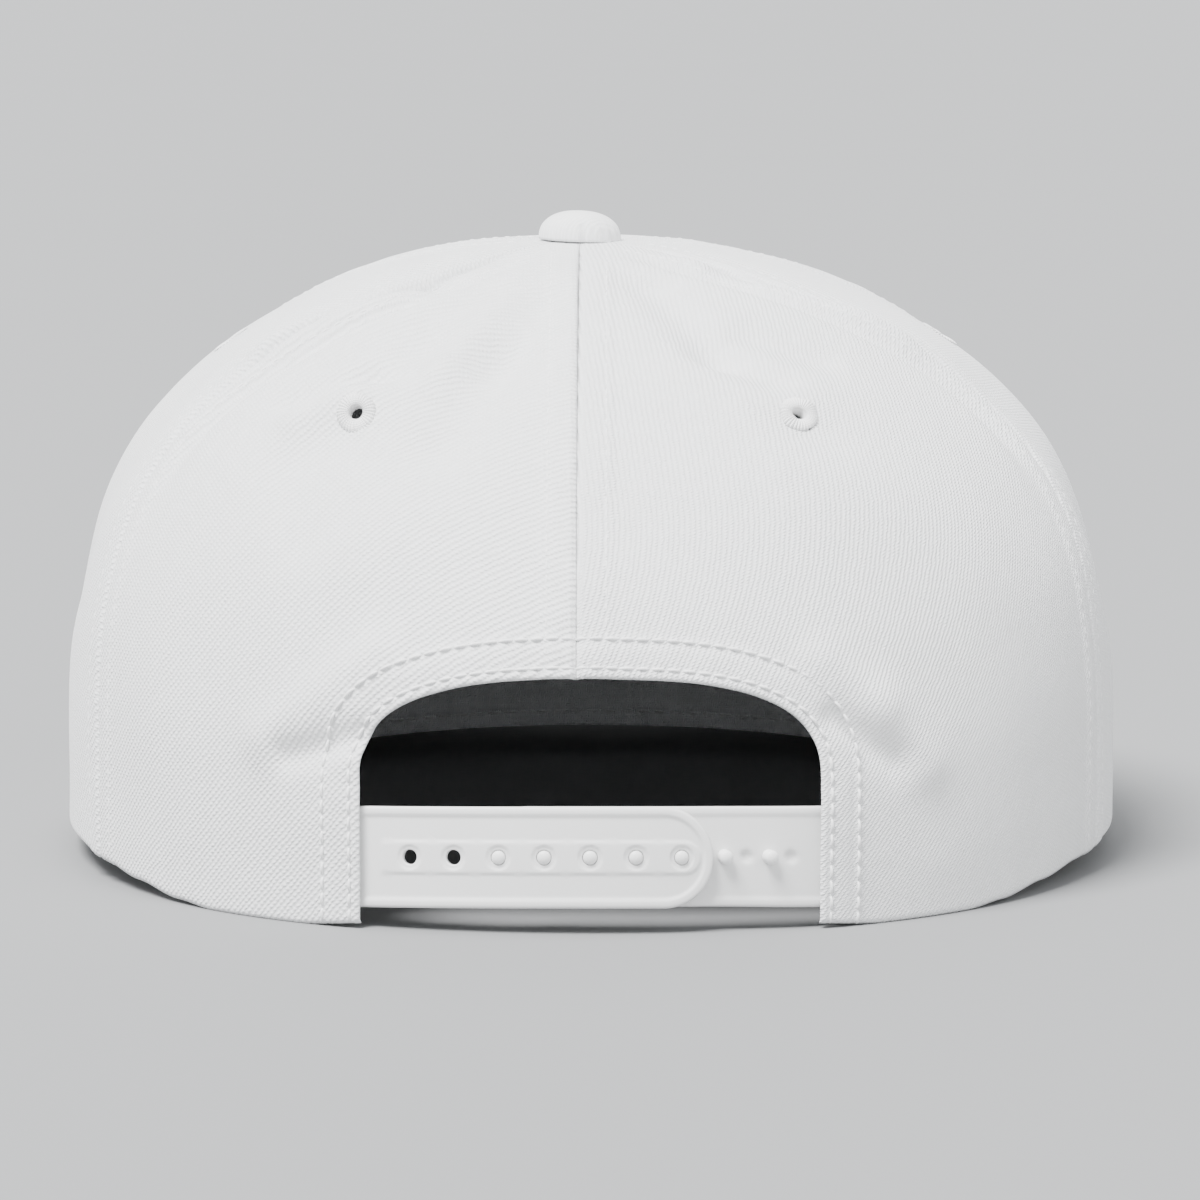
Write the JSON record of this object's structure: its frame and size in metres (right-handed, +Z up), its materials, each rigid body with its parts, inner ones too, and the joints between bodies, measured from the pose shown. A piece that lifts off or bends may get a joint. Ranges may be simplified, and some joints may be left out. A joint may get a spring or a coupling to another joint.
{
  "type": "snapback cap",
  "caption": "Flat peaked cap with a deep panelled crown, stitched eyelets, a covered button and a moulded snap strap across an arched rear opening.",
  "frame": {"origin": "on the surface that the cap rests on, below the middle of its overall box", "axes": "+Z up through the button, -Y forward along the peak, +Y towards the strap, +X towards the wearer's left"},
  "size_m": [0.192, 0.2758, 0.1149],
  "materials": {
    "crown_cloth": "white cotton twill",
    "peak_cloth": "white cotton twill over a stiff board",
    "button_cloth": "white cotton twill stretched over a button",
    "eyelet_thread": "white satin stitch thread",
    "sweatband_cloth": "white plain woven band",
    "strap_plastic": "off-white translucent moulded plastic"
  },
  "bodies": {
    "root": {"crown_back_left": "crown_cloth", "crown_side_left": "crown_cloth", "crown_front_left": "crown_cloth", "crown_front_right": "crown_cloth", "crown_side_right": "crown_cloth", "crown_back_right": "crown_cloth", "eyelet_back_left": "eyelet_thread", "eyelet_side_left": "eyelet_thread", "eyelet_front_left": "eyelet_thread", "eyelet_front_right": "eyelet_thread", "eyelet_side_right": "eyelet_thread", "eyelet_back_right": "eyelet_thread", "button": "button_cloth", "peak": "peak_cloth", "sweatband": "sweatband_cloth", "strap_with_holes": "strap_plastic", "strap_with_pegs": "strap_plastic"}
  },
  "joints": []
}
